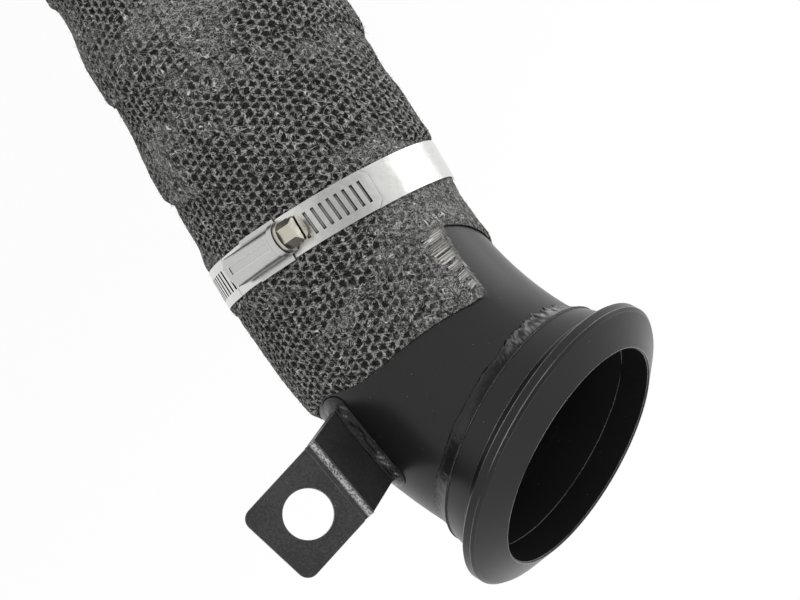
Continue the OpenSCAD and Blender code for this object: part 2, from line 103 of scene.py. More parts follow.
def outward(s, round_deg):
    """Unit vector square to the tube at station s, at an angle round it."""
    a, f = turned(s), np.radians(round_deg)
    return np.stack([np.cos(f) * np.cos(a), np.sin(f), -np.cos(f) * np.sin(a)], -1)


def on_tube(s, round_deg, r):
    """Point at station s and an angle round the tube, r from the centre line."""
    s, round_deg, r = np.broadcast_arrays(*[np.asarray(v, float) for v in (s, round_deg, r)])
    return axis_point(s) + r[..., None] * outward(s, round_deg)


# Random fields, from a lattice of this many numbers to a side, after which it repeats
LATTICE = 64


def value_noise(p, q, seed):
    """Smooth noise from -1 to 1: random numbers on a unit lattice, blended by a cubic step between them."""
    table = np.random.default_rng(seed).uniform(-1, 1, (LATTICE, LATTICE))
    i, j = np.floor(p).astype(int), np.floor(q).astype(int)
    u, v = p - i, q - j
    u, v = u * u * (3 - 2 * u), v * v * (3 - 2 * v)
    i, j, next_i, next_j = i % LATTICE, j % LATTICE, (i + 1) % LATTICE, (j + 1) % LATTICE
    near = table[i, j] * (1 - u) + table[next_i, j] * u
    far = table[i, next_j] * (1 - u) + table[next_i, next_j] * u
    return near * (1 - v) + far * v


def smooth_step(t):
    """0 below 0, 1 above 1, and a cubic between."""
    t = np.clip(t, 0, 1)
    return t * t * (3 - 2 * t)


def bump_at(t, middle, half):
    """1 at the middle, falling off on both sides as a bell whose half width is given."""
    return np.exp(-(((t - middle) / half) ** 2))


# Meshes

def new_piece(name, points, faces, uv=None, fields=None, smooth=True, lids=()):
    """Mesh piece from points in millimetres and faces, with a UV place per point, named numbers per point and
    lids over open ends."""
    mesh = bpy.data.meshes.new(name)
    mesh.from_pydata((points * MM).tolist(), [], faces.tolist() + [list(map(int, lid)) for lid in lids])
    loops = np.empty(len(mesh.loops), np.int32)
    mesh.loops.foreach_get("vertex_index", loops)
    if uv is not None:
        mesh.uv_layers.new(name="UVMap").data.foreach_set("uv", uv[loops].astype(np.float32).ravel())
    for key, values in (fields or {}).items():
        mesh.attributes.new(key, "FLOAT", "POINT").data.foreach_set("value", values.astype(np.float32))
    if smooth:
        mesh.shade_smooth()
    mesh.update()
    piece = bpy.data.objects.new(name, mesh)
    bpy.context.scene.collection.objects.link(piece)
    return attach(piece, "root")


def grid_faces(rows, columns, rows_closed=False, columns_closed=False):
    """Quads of a grid of rows x columns points, with either direction joined end to start."""
    i = np.arange(rows if rows_closed else rows - 1)[:, None]
    j = np.arange(columns if columns_closed else columns - 1)[None, :]
    a, b = i * columns + j, i * columns + (j + 1) % columns
    c, d = ((i + 1) % rows) * columns + (j + 1) % columns, ((i + 1) % rows) * columns + j
    return np.stack([a, d, c, b], -1).reshape(-1, 4)


# Heat wrap: width and thickness of the strip, length of tube left bare at the far end, and the distance from
# turn to turn on the straight run
STRIP_W = 50.8
STRIP_T = 1.3
BARE_END = 45.0
LEAD = 36.4
# Angle round the tube at which the strip is cut, the degrees by which the cut slants over the strip's width,
# and the degrees of winding over which that slant fades out
CUT_ROUND = -165.9
CUT_SLANT = 18.0
SLANT_FADES = 90
# Radius of the first layer's under side, height from layer to layer, and air under the folds
UNDER_R = TUBE_R + 0.16
LAYER = STRIP_T + 0.2
LOOSE = 0.12
# Stations of the strip's edge as laid by hand: degrees of winding, station
LAID = np.array(
    [
        [0, 48], [33, 53.7], [54, 57.8], [77.5, 61.6], [88, 67.2], [110, 68.2], [295, 72], [328, 80],
        [345, 84.5], [360, 86.5], [470, 101], [690, 118], [840, 142], [1035, 159], [1190, 177], [1540, 212],
    ]
)
# Degrees over which the laid route is eased, to each side, and winding at which the strip starts to climb on
# its first turn
EASE = 8
CLIMB_FROM = 340
# The last turn goes square round the tube, and the strip ends on a whole step of winding
END_STEP = 15
LAST_EDGE = TUBE_END - BARE_END - STRIP_W
SQUARE_FROM = LAID[-1, 0] + (LAST_EDGE - LAID[-1, 1]) / LEAD * 360
WOUND = np.floor((SQUARE_FROM + 360) / END_STEP) * END_STEP
# Clamp bands as in the CAD source: width, inner radius and stations
BAND_W = 13.0
BAND_R = 40.42
BAND_STATIONS = (BEND_END + BAND_W / 2 + 0.3, TUBE_END - BARE_END - BAND_W / 2 - 5)
# Air under a band, half width that it presses flat, and the swelling beside it: distance, half width, height
BAND_CLEAR = 0.1
PRESSED_HALF = 7.6
SWELL_AT, SWELL_HALF, SWELL = 9.5, 3.0, 0.3
# Knit: distance from column to column along the strip, and from hole to hole in a column across it
STITCH = 2.9
ROW = 2.75
HOLE_DEPTH = 0.65
# Length along the strip at which its first turn closes
TURN_L = 245.0
# Lengths over which the knit is pulled shut at the cut and round the first turn's end
SHUT_AT_CUT, SHUT_AT_TURN = 20.0, 30.0


def edge_station(wind):
    """Station of the strip's flange-side edge: the table, then the lead, eased to both sides."""
    def route(w):
        on = LAID[-1, 1] + (w - LAID[-1, 0]) * LEAD / 360
        return np.where(w < LAID[-1, 0], np.interp(w, LAID[:, 0], LAID[:, 1]), np.minimum(on, LAST_EDGE))

    return (route(wind - EASE) + route(wind) + route(wind + EASE)) / 3


def surface_length(s, round_deg):
    """Length along the wrap from the mouth to station s, longer than the centre line on the elbow's outer
    side."""
    k = 1 + UNDER_R * np.cos(np.radians(round_deg)) / BEND_RADIUS
    bent = np.clip(s - MOUTH_TO_BEND, 0, BEND_LENGTH)
    return np.minimum(s, MOUTH_TO_BEND) + k * bent + np.maximum(s - BEND_END, 0)


def station_of(length, round_deg):
    """Station at a length along the wrap, the inverse of surface_length."""
    k = 1 + UNDER_R * np.cos(np.radians(round_deg)) / BEND_RADIUS
    bent = length - MOUTH_TO_BEND
    after = np.where(bent < k * BEND_LENGTH, MOUTH_TO_BEND + bent / k, BEND_END + bent - k * BEND_LENGTH)
    return np.where(bent < 0, length, after)


def covered(wind):
    """Width of the strip that lies on the turn before, none on the first turn."""
    f = CUT_ROUND + wind
    width = surface_length(edge_station(wind - 360), f) + STRIP_W - surface_length(edge_station(wind), f)
    return np.where(wind < 360, 0.0, width)


def strip_place(wind, x):
    """Station and angle of the strip at a winding and a distance x from its flange-side edge."""
    slant = -CUT_SLANT * x / STRIP_W * np.maximum(1 - wind / SLANT_FADES, 0)
    f = CUT_ROUND + wind + slant
    wander = 0.5 * value_noise(wind / 31, wind * 0, 3) + 0.25 * value_noise(wind / 7, wind * 0, 4)
    return station_of(surface_length(edge_station(wind) + wander, f) + x, f), f


def strip_lift(wind, x, s):
    """Height of the strip's under side: one layer where it lies on the turn before, sloping down past that
    turn's far edge, with loose folds, a little air, and held against a clamp's band where one goes round."""
    over = covered(wind)
    climb = smooth_step((wind - CLIMB_FROM) / (360 - CLIMB_FROM))
    down = np.where(wind < 360, 1.0, 1 - smooth_step((x - over) / 15))
    long_folds = 0.28 * value_noise(wind / 9 + 0.12 * x, x / 21, 5)
    short_folds = 0.16 * value_noise(wind / 3.4 - 0.1 * x, x / 13, 6)
    raised = LAYER * climb * down + (long_folds + short_folds) * np.clip(x / 6, 0, 1) + LOOSE
    held = BAND_R - UNDER_R - STRIP_T - BAND_CLEAR
    for station in BAND_STATIONS:
        pressed = np.exp(-(((s - station) / PRESSED_HALF) ** 6))
        beside = bump_at(np.abs(s - station), SWELL_AT, SWELL_HALF) * SWELL
        raised = raised * (1 - pressed) + held * pressed + beside
    return raised


def strip_tall(x):
    """Thickness of the strip at a distance across it: its edges are thinned to a slope by a cubic step."""
    return 0.2 + (STRIP_T - 0.2) * smooth_step((x + 0.3) / 2.9) * smooth_step((STRIP_W + 0.3 - x) / 2.2)


def knit_place(length, x):
    """Place in the knit, counted in columns along the strip and in holes across it, which wanders by a
    fraction of a hole as the cloth is pulled."""
    along = length / STITCH + 0.3 * value_noise(length / 15, x / 12, 11)
    along = along + 0.13 * value_noise(length / 4.1, x / 4.3, 12)
    across = x / ROW + 0.3 * value_noise(length / 17, x / 13, 13)
    across = across + 0.13 * value_noise(length / 4.7, x / 3.9, 14)
    return along, across


def knit_open(length, x):
    """How open the knit is at a place, from 0 where it is pulled shut to 1: broad and small patches by noise,
    shut at the cut and where the second turn leaves the first."""
    broad = value_noise(length / 24, x / 17, 15)
    small = value_noise(length / 3.2, x / 3.0, 16)
    shut = bump_at(length, 0, SHUT_AT_CUT) + bump_at(length, TURN_L, SHUT_AT_TURN)
    return np.clip((0.86 + 0.6 * broad + 0.35 * small) * (1 - 0.75 * np.minimum(shut, 1)), 0.05, 1)


def knit_holes(along, across):
    """Holes of the knit, 1 inside and 0 outside: each second column stands half a hole on, and a hole is a
    rounded triangle between two slanted yarns and a flat one."""
    inside = 0
    for shift in (0.0, 1.0):
        p = (along - shift) / 2
        p = 2 * (p - np.round(p))
        q = across - shift / 2
        q = q - np.round(q)
        side, down = np.abs(0.75 * p + 0.5 * q), 0.25 * p - 0.5 * q
        corner = np.maximum(side / 0.46 - (down + 0.3) / 0.5, (down - 0.22) / 0.2)
        oval = np.hypot(side / 0.4, down / 0.25) - 1
        inside = np.maximum(inside, smooth_step(-(0.4 * corner + 0.6 * oval) / 0.35))
    return inside


def knit_face(length, x):
    """Height of the knitted face: sunk in the holes, raised on the yarns, with knots of fibre."""
    along, across = knit_place(length, x)
    hole = knit_holes(along, across) * knit_open(length, x)
    rising, falling = 2 * np.pi * (0.5 * along + across), 2 * np.pi * (0.5 * along - across)
    yarn = 0.06 * np.cos(rising) + 0.06 * np.cos(falling)
    knots = 0.09 * value_noise(length / 0.9, x / 0.8, 17)
    return yarn * (1 - hole) + knots - HOLE_DEPTH * hole


def wound_lengths():
    """Length along the strip's middle for a fine row of windings, by adding up small steps."""
    wind = np.arange(0, WOUND + 0.01, 1.0)
    s, f = strip_place(wind, np.full_like(wind, STRIP_W / 2))
    p = on_tube(s, f, UNDER_R + STRIP_T)
    steps = np.linalg.norm(np.diff(p, axis=0), axis=1)
    return wind, np.concatenate([[0], np.cumsum(steps)])


WIND_TABLE, LENGTH_TABLE = wound_lengths()
STRIP_L = float(LENGTH_TABLE[-1])
# Where the strip's mesh has its points across the strip: over the top that shows, over the top that the next
# turn hides, and back underneath
SHOWN_X = np.arange(0.0, 38.6, 0.42)
HIDDEN_X = np.array([40.0, 43.0, 46.0, 48.5, 49.6, 50.3])
UNDER_X = np.array([50.8, 36.0, 18.0, 3.0, 0.0])
# Step of the mesh along the strip, and where across it the next turn hides the face
STEP_L = 0.55
HIDDEN_FROM = 37.2
# Painted shade in the gaps between the bundles of fibre at the cut: the first gap's place across the strip,
# the distance from gap to gap and how far the shade reaches along it
FIRST_GAP, GAP_PITCH, GAP_REACH = 7.0, 3.85, 7.0
# The bundles' places across the strip, half widths and reach along it, and their slant as the distance
# across for each one along
BUNDLE_X = np.array([5.0, 9.0, 12.8, 16.8, 20.6, 24.5, 28.4, 32.3, 36.2])
BUNDLE_HALF = np.array([0.9, 1.1, 1.4, 1.3, 1.6, 1.5, 1.3, 1.4, 1.3])
BUNDLE_REACH = np.array([2.5, 4.0, 4.6, 6.0, 6.8, 7.6, 5.6, 6.6, 6.0])
BUNDLE_SLANT = 0.2


def cut_gap_shade(length, x):
    """Painted shade in the gaps between the bundles at the cut: slanted stripes by a cosine, fading out along
    the strip.
    """
    stripe = np.cos(2 * np.pi * (x - FIRST_GAP + BUNDLE_SLANT * length) / GAP_PITCH)
    return bump_at(length, 0, GAP_REACH) * smooth_step(0.5 + 1.2 * stripe)


def strip_piece(name, length_from, length_to):
    """A stretch of the wound strip: a closed band whose face carries the knit, with thinned edges and a plain
    under side."""
    steps = int((length_to - length_from) / STEP_L) + 1
    lengths = np.linspace(length_from, length_to, steps)[:, None]
    top = np.concatenate([SHOWN_X, HIDDEN_X])
    row = np.concatenate([top, UNDER_X])[None, :]
    on_top = np.arange(row.shape[1])[None, :] < len(top)
    length, x = np.broadcast_arrays(lengths, row)
    wind = np.interp(lengths, LENGTH_TABLE, WIND_TABLE) + 0 * row
    # The last turn has none over it, so that its whole width shows
    last_turn = smooth_step((wind - (WOUND - 360 - END_STEP)) / END_STEP)
    shown = 1 - smooth_step((x - HIDDEN_FROM) / 2.0) * (1 - last_turn)
    height = knit_face(length, x) * (0.4 + 0.6 * smooth_step(x / 2.5))
    s, f = strip_place(wind, x)
    face = np.where(on_top, strip_tall(x) + height * shown - 0.25 * (1 - shown), 0)
    selvage = 0.2 * value_noise(length / 0.8, x / 0.7, 21) * (x < 2)
    r = UNDER_R + strip_lift(wind, x, s) + face
    points = on_tube(s + selvage, f, r)
    rows, columns = points.shape[:2]
    faces = grid_faces(rows, columns, columns_closed=True)
    ring = np.arange(columns)
    lids = [ring[::-1], (rows - 1) * columns + ring]
    uv = np.stack(knit_place(length, x), -1).reshape(-1, 2)
    # The painted shade of the gaps at the cut goes with the mesh
    fields = {"knit_open": knit_open(length, x).ravel(), "painted_gap_shade": cut_gap_shade(length, x).ravel()}
    return new_piece(name, points.reshape(-1, 3), faces, uv, fields, lids=lids)


def fibres(name, root, lean, bend, long, thick, seed):
    """Loose fibres: three-sided spikes from root points along a lean direction, curving towards bend."""
    rng = np.random.default_rng(seed)
    count = len(root)
    side = np.cross(lean, rng.normal(size=(count, 3)))
    side /= np.linalg.norm(side, axis=1)[:, None]
    other = np.cross(lean, side)
    turn = np.array([0, 2, 4]) * np.pi / 3
    ring = side[:, None] * np.cos(turn)[None, :, None] + other[:, None] * np.sin(turn)[None, :, None]
    half = root + lean * long[:, None] * 0.55 + bend * long[:, None] * 0.12
    tip = root + lean * long[:, None] * 0.95 + bend * long[:, None] * 0.5
    low = root[:, None] + ring * thick[:, None, None]
    high = half[:, None] + ring * thick[:, None, None] * 0.75
    points = np.concatenate([low, high, tip[:, None]], 1).reshape(-1, 3)
    # Three points at the root, three half way and the tip
    base = np.arange(count)[:, None, None] * 7
    pattern = np.array(
        [
            [0, 2, 1], [0, 1, 4], [0, 4, 3], [1, 2, 5], [1, 5, 4],
            [2, 0, 3], [2, 3, 5], [3, 4, 6], [4, 5, 6], [5, 3, 6],
        ]
    )
    faces = (base + pattern[None]).reshape(-1, 3)
    shade = np.repeat(rng.uniform(0, 1, count), 7)
    return new_piece(name, points, faces, fields={"shade": shade}, smooth=False)


def unit(v):
    """Vectors scaled to length one."""
    return v / np.linalg.norm(v, axis=-1, keepdims=True)


def strip_face(wind, x, above):
    """Point above the strip's face, with the directions along the strip, across it and outwards there."""
    s, f = strip_place(wind, x)
    r = UNDER_R + strip_lift(wind, x, s) + strip_tall(x) + above
    here = on_tube(s, f, r)
    s2, f2 = strip_place(wind + 1, x)
    along = unit(on_tube(s2, f2, r) - here)
    out = outward(s, f)
    return here, along, unit(np.cross(out, along)), out


def wrap_fuzz():
    """Short fibres that stand off the face all over, where no turn lies on it."""
    rng = np.random.default_rng(31)
    count = 9000
    wind = rng.uniform(2, WOUND, count)
    x = rng.uniform(0, 36, count)
    here, along, across, out = strip_face(wind, x, -0.2)
    lean = unit(rng.normal(size=(count, 3)) * 0.7 + out * 0.55)
    bend = along * rng.normal(size=(count, 1)) + across * rng.normal(size=(count, 1))
    long, thick = rng.uniform(0.7, 1.9, count), rng.uniform(0.03, 0.05, count)
    return fibres("wrap_fuzz", here, lean, bend, long, thick, 32)


def wrap_edge_fuzz():
    """Fibres along the edge that faces the flange."""
    rng = np.random.default_rng(33)
    count = 7000
    wind = rng.uniform(0, WOUND, count)
    here, along, _, out = strip_face(wind, rng.uniform(-0.1, 0.5, count), -0.3)
    here = here - out * rng.uniform(0, 1.1, count)[:, None]
    bent = turned(edge_station(wind))
    to_flange = unit(np.stack([np.sin(bent), 0 * wind, np.cos(bent)], -1))
    lean = unit(to_flange * 0.8 + rng.normal(size=(count, 3)) * 0.6)
    bend = along * rng.normal(size=(count, 1)) + out * rng.normal(size=(count, 1)) * 0.5
    long, thick = rng.uniform(0.6, 1.6, count), rng.uniform(0.03, 0.055, count)
    return fibres("wrap_edge_fuzz", here, lean, bend, long, thick, 34)


def cut_strands():
    """Bright bundles of parted fibres that lie along the strip and end at its cut, between the dark gaps."""
    rng = np.random.default_rng(35)
    count = 520
    pick = rng.integers(0, len(BUNDLE_X), count)
    back = BUNDLE_REACH[pick] * rng.uniform(0.6, 1.15, count)
    x = BUNDLE_X[pick] + BUNDLE_HALF[pick] * rng.uniform(-1, 1, count) - BUNDLE_SLANT * back
    wind = np.degrees(back / (UNDER_R + STRIP_T)) + 0.3
    here, along, across, out = strip_face(wind, x, 0.1)
    here = here + out * rng.uniform(0.1, 0.4, count)[:, None]
    lean = unit(-along - across * BUNDLE_SLANT + rng.normal(size=(count, 3)) * 0.02 + out * 0.02)
    bend = -out * 0.06 + across * rng.normal(size=(count, 1)) * 0.03
    long, thick = back * rng.uniform(0.95, 1.15, count), rng.uniform(0.1, 0.2, count)
    return fibres("wrap_cut_strands", here, lean, bend, long, thick, 36)


def cut_fringe():
    """Fine light fibres that hang off the cut's whole line, and longer ones that run across it."""
    rng = np.random.default_rng(37)
    count, loose = 1400, 150
    x = rng.uniform(0, STRIP_W - 8, count)
    here, along, across, out = strip_face(rng.uniform(0, 1.2, count), x, 0)
    here = here - out * rng.uniform(0, 1.5, count)[:, None]
    lean = unit(-along * 0.5 + across * rng.normal(size=(count, 1)) * 0.9 + rng.normal(size=(count, 3)) * 0.3)
    bend = across * rng.normal(size=(count, 1)) + out * rng.normal(size=(count, 1)) * 0.3
    long, thick = rng.uniform(0.7, 2.4, count), rng.uniform(0.03, 0.055, count)
    x = rng.uniform(3, 36, loose)
    wind = -1.6 + 0.25 * np.sin(x * 1.3) + rng.normal(size=loose) * 0.12
    there, _, over, up = strip_face(wind, x, -0.9)
    here = np.concatenate([here, there])
    lean = np.concatenate([lean, unit(over + rng.normal(size=(loose, 3)) * 0.12)])
    bend = np.concatenate([bend, up * rng.normal(size=(loose, 1)) * 0.1])
    long = np.concatenate([long, rng.uniform(1.5, 4.0, loose)])
    thick = np.concatenate([thick, rng.uniform(0.06, 0.12, loose)])
    return fibres("wrap_cut_fringe", here, lean, bend, long, thick, 38)


# Weld beads, and the angle round the tube where the flange's weld ends in feathers
FEATHER_AT = -178.0


def flange_bead():
    """Ring of weld from the flange's neck down to the tube: a hollow fillet, dressed nearly smooth, with
    drawn-out feathers where the torch ended its round."""
    steps, rows = 1440, 17
    turn = np.linspace(0, 360, steps, endpoint=False)[:, None]
    q = np.linspace(0, 1, rows)[None, :]
    feather = bump_at((turn - FEATHER_AT + 180) % 360 - 180, 0, 24)
    drawn_out = feather * (2.2 + 1.6 * value_noise(turn / 1.6, q * 0, 44))
    reach = 5.2 + 0.5 * value_noise(turn / 9, q * 0, 41) + drawn_out
    rough = 0.09 * value_noise(turn / 3.1, q * 3, 42) + 0.05 * value_noise(turn / 1.0 + 4 * q, q * 8, 43)
    rough = rough + 0.2 * feather * value_noise(turn / 1.5 + 5 * q, q * 3, 45)
    body = np.sin(np.pi * q) ** 0.7
    s = NECK_DEPTH + 0.05 + reach * q
    r = TUBE_R + 2.3 * (1 - q) ** 1.7 + rough * body
    face = on_tube(s, turn, np.where(q > 0.99, TUBE_R + 0.02, r))
    root = on_tube(np.full_like(turn, NECK_DEPTH + 0.05), turn, TUBE_R + 0.02)
    points = np.concatenate([face, root], 1)
    # Painted highlight: light streaks on the feathers, which the bead's material lightens.
    streak = 0.6 * value_noise(turn / 1.2 + 6 * q, q * 2.2, 46)
    streak = streak + 0.4 * value_noise(turn / 0.5 + 9 * q, q * 4, 47)
    painted_streak_highlight = np.concatenate([feather * body * smooth_step(streak * 1.6 + 0.3), 0 * turn], 1)
    faces = grid_faces(steps, rows + 1, True, True)[:, ::-1]
    return new_piece("flange_weld_bead", points.reshape(-1, 3), faces, fields={"painted_streak_highlight": painted_streak_highlight.ravel()})


# Bracket's foot as in the CAD source: station, place round the tube, turn from the line of the tube, and the
# web's lean from straight out
FOOT_STATION, FOOT_ROUND, FOOT_TURN, FOOT_LEAN = 50.5, -69.0, -19.0, -36.0
# Its plate: thickness, width, and the angle by which the bend is out of square with the sides
PLATE_T, PLATE_W, SKEW = 3.0, 27.0, 7.5
FOOT_HALF = PLATE_W / 2 / np.cos(np.radians(SKEW))


def turn_about(v, axis, degrees):
    """Vectors turned about the X, Y or Z axis, by the usual cosine and sine rule."""
    c, s = np.cos(np.radians(degrees)), np.sin(np.radians(degrees))
    i, j = [(1, 2), (2, 0), (0, 1)]["XYZ".index(axis)]
    out = v.copy()
    out[..., i] = v[..., i] * c - v[..., j] * s
    out[..., j] = v[..., i] * s + v[..., j] * c
    return out


def foot_point(x, y, z):
    """Point of the bracket in the part's frame: x along the web, y across the plate, z along the tube."""
    x, y, z = np.broadcast_arrays(x, y, z)
    v = np.stack([x, y, z + x * np.tan(np.radians(SKEW))], -1).astype(float)
    v = turn_about(turn_about(v, "Z", FOOT_LEAN), "X", FOOT_TURN)
    v = turn_about(v + [TUBE_R, 0, 0], "Z", FOOT_ROUND)
    station = np.float64(FOOT_STATION)
    return axis_point(station) + turn_about(v, "Y", np.degrees(turned(station)))


def foot_height(y, z, clear=0.03):
    """Height along the web at which the tube is met, by stepping down until the distance is right."""
    x = 0 * y
    for _ in range(8):
        p = foot_point(x, y, z)
        q = np.hypot(p[..., 0] + BEND_RADIUS, p[..., 2] + MOUTH_TO_BEND) - BEND_RADIUS
        x = x - (np.hypot(q, p[..., 1]) - TUBE_R - clear) / np.cos(np.radians(FOOT_LEAN))
    return x


def bracket_bead():
    """Weld laid round the bracket's foot: a loop along one side, round the end and back, whose nearly flat
    section runs from the tube's surface up the plate, with drawn-out lumps along it."""
    side_n, end_n, rows = 150, 46, 11
    side = np.linspace(-1, 1, side_n, endpoint=False)
    swing = np.linspace(0, np.pi, end_n, endpoint=False)
    y = np.concatenate([np.full(side_n, 0.0), PLATE_T / 2 * (1 - np.cos(swing))] * 2)
    y[side_n + end_n:] = PLATE_T - y[side_n + end_n:]
    z = np.concatenate([side * FOOT_HALF, np.full(end_n, FOOT_HALF)])
    z = np.concatenate([z, -z])
    angle = np.concatenate([np.full(side_n, np.pi), np.pi - swing])
    angle = np.concatenate([angle, angle - np.pi])
    count = len(y)
    loop = np.linspace(0, 1, count, endpoint=False)[:, None]
    q = np.linspace(0, 1, rows)[None, :]
    rough = 0.3 * value_noise(loop * 22, q * 5, 51) + 0.1 * value_noise(loop * 75, q * 9, 52)
    leg = 4.0 + 0.5 * value_noise(loop * 9, q * 0, 53)
    reach = leg * (1 - q) ** 1.15 + rough * np.sin(np.pi * q)
    rise = leg * q ** 1.15 + rough * np.sin(np.pi * q)
    ys = y[:, None] + reach * np.cos(angle)[:, None]
    zs = z[:, None] + reach * np.sin(angle)[:, None]
    face = foot_point(foot_height(ys, zs) + rise, ys, zs)
    root = foot_point(foot_height(y, z), y, z)[:, None]
    points = np.concatenate([face, root], 1)
    # Painted highlight: light streaks along the middle of the fillet, in patches.
    streak = 0.6 * value_noise(loop * 90 + 9 * q, q * 2, 54)
    streak = streak + 0.4 * value_noise(loop * 260 + 24 * q, q * 3, 55)
    patch = smooth_step(2.0 * value_noise(loop * 26, q * 0, 56) + 0.15)
    painted_streak_highlight = bump_at(q, 0.4, 0.2) * smooth_step(streak * 1.7 + 0.1) * patch
    painted_streak_highlight = np.concatenate([painted_streak_highlight, 0 * loop], 1)
    faces = grid_faces(count, rows + 1, True, True)
    return new_piece("bracket_weld_bead", points.reshape(-1, 3), faces, fields={"painted_streak_highlight": painted_streak_highlight.ravel()})


# Materials

class Nodes:
    """Places shader nodes in a tree and joins them, with plain numbers set on their sockets."""

    def __init__(self, tree):
        self.tree = tree

    def add(self, kind, inputs=None, **settings):
        node = self.tree.nodes.new(kind)
        for key, value in settings.items():
            setattr(node, key, value)
        for key, value in (inputs or {}).items():
            socket = node.inputs[key]
            if isinstance(value, bpy.types.NodeSocket):
                self.tree.links.new(value, socket)
            else:
                socket.default_value = value
        return node

    def math(self, operation, a, b=0.0, c=0.0, clamp=False):
        return self.add("ShaderNodeMath", {0: a, 1: b, 2: c}, operation=operation, use_clamp=clamp).outputs[0]

    def mix(self, factor, a, b, kind="RGBA"):
        """Blend of two colours or numbers, a at factor 0 and b at factor 1."""
        names = {"RGBA": (6, 7, 2), "FLOAT": (2, 3, 0)}[kind]
        node = self.add("ShaderNodeMix", {0: factor, names[0]: a, names[1]: b}, data_type=kind)
        return node.outputs[names[2]]

    def ramp(self, value, low, high):
        """Straight from 0 at low to 1 at high, which may be the smaller of the two, and flat beyond them."""
        inputs = {0: value, 1: low, 2: high, 3: 0.0, 4: 1.0}
        return self.add("ShaderNodeMapRange", inputs, clamp=True).outputs[0]

    def noise(self, place, scale, **more):
        return self.add("ShaderNodeTexNoise", {"Vector": place, "Scale": scale, **more}).outputs[0]

    def dot(self, a, b):
        return self.add("ShaderNodeVectorMath", {0: a, 1: b}, operation="DOT_PRODUCT").outputs["Value"]

    def vector(self, operation, a, b):
        """Vector result of joining two vectors."""
        return self.add("ShaderNodeVectorMath", {0: a, 1: b}, operation=operation).outputs[0]

    def attribute(self, name):
        """A mesh's number per point, by its name."""
        return self.add("ShaderNodeAttribute", attribute_name=name).outputs["Fac"]

    def object_place(self):
        return self.add("ShaderNodeTexCoord").outputs["Object"]


def new_group(name, inputs, outputs):
    """Empty shader node group with named float, colour or vector sockets."""
    tree = bpy.data.node_groups.new(name, "ShaderNodeTree")
    for direction, sockets in (("INPUT", inputs), ("OUTPUT", outputs)):
        for key, kind, *value in sockets:
            socket = tree.interface.new_socket(key, in_out=direction, socket_type="NodeSocket" + kind)
            if value:
                socket.default_value = value[0]
    n = Nodes(tree)
    return tree, n, n.add("NodeGroupInput").outputs, n.add("NodeGroupOutput")


def grain_group():
    """Fine grain: two sizes of noise on object coordinates, as a mask from 0 to 1 and as a bumped normal."""
    inputs = [("Scale", "Float", 900.0), ("Bump", "Float", 0.1)]
    tree, n, put, out = new_group("fine_grain", inputs, [("Mask", "Float"), ("Normal", "Vector")])
    place = n.object_place()
    small = n.noise(place, put["Scale"], Detail=4.0, Roughness=0.6)
    wide = n.noise(place, 60.0, Detail=3.0)
    mixed = n.math("ADD", n.math("MULTIPLY", small, 0.7), n.math("MULTIPLY", wide, 0.3))
    bump = n.add("ShaderNodeBump", {"Strength": put["Bump"], "Distance": 0.0002, "Height": small})
    tree.links.new(mixed, out.inputs["Mask"])
    tree.links.new(bump.outputs[0], out.inputs["Normal"])
    return tree


def speck_group():
    """Tiny light specks of dust and lint: the middles of small cells, of which a tenth is kept by the cell's
    random colour."""
    tree, n, put, out = new_group("dust_specks", [("Amount", "Float", 0.5)], [("Mask", "Float")])
    cells = n.add("ShaderNodeTexVoronoi", {"Vector": n.object_place(), "Scale": 650.0, "Randomness": 1.0})
    dot = n.math("LESS_THAN", cells.outputs["Distance"], 0.1)
    random = n.add("ShaderNodeSeparateColor", {0: cells.outputs["Color"]}).outputs[0]
    chosen = n.math("GREATER_THAN", random, 0.9)
    mask = n.math("MULTIPLY", n.math("MULTIPLY", dot, chosen), put["Amount"])
    tree.links.new(mask, out.inputs["Mask"])
    return tree


def edge_group():
    """Edges: the cosine between the face's normal and that of a rounded edge, 1 on flat faces and less within
    a radius of an edge, and a mask of their wear and painted highlight, which is one less that cosine in
    patches of a wide noise."""
    inputs = [("Radius", "Float", 0.0004), ("Wear", "Float", 1.0)]
    tree, n, put, out = new_group("worn_and_lit_edges", inputs, [("Cosine", "Float"), ("Worn", "Float")])
    rounded = n.add("ShaderNodeBevel", {"Radius": put["Radius"]}, samples=4).outputs[0]
    cosine = n.dot(rounded, n.add("ShaderNodeNewGeometry").outputs["Normal"])
    patches = n.ramp(n.noise(n.object_place(), 28.0, Detail=3.0), 0.35, 0.62)
    edge = n.math("SUBTRACT", 1.0, cosine, clamp=True)
    wear_and_sheen = n.math("MULTIPLY", edge, n.math("MULTIPLY", patches, put["Wear"]), clamp=True)
    tree.links.new(cosine, out.inputs["Cosine"])
    tree.links.new(wear_and_sheen, out.inputs["Worn"])
    return tree


def wave_group():
    """Soft waves of rolled sheet: a wide noise on object coordinates that bumps the normal put in."""
    tree, n, put, out = new_group("soft_waves", [("Normal", "Vector")], [("Normal", "Vector")])
    waves = n.noise(n.object_place(), 170.0, Detail=1.0)
    inputs = {"Strength": 0.3, "Distance": 0.0008, "Height": waves, "Normal": put["Normal"]}
    tree.links.new(n.add("ShaderNodeBump", inputs).outputs[0], out.inputs["Normal"])
    return tree


GRAIN, SPECKS, EDGES, WAVES = grain_group(), speck_group(), edge_group(), wave_group()

# Colours of the cloth: its yarns between dark and light, the painted shade in its holes and in the cut's
# gaps, and its strands that shine
YARN_DARK = (0.016, 0.016, 0.015, 1)
YARN_LIGHT = (0.115, 0.115, 0.11, 1)
PAINTED_SHADE_DARK = (0.008, 0.008, 0.007, 1)
STRAND_PALE = (0.95, 0.95, 0.92, 1)
# How far the holes' outline is shaken, in columns and holes
RAGGED = 0.62
# Layers of strands, curls, small curls and long ones: place in the noise, scale, width and share that shows
STRAND_KINDS = ((0.0, 2.3, 0.055, 0.75), (7.3, 3.4, 0.065, 0.7), (3.1, 0.8, 0.016, 0.5))


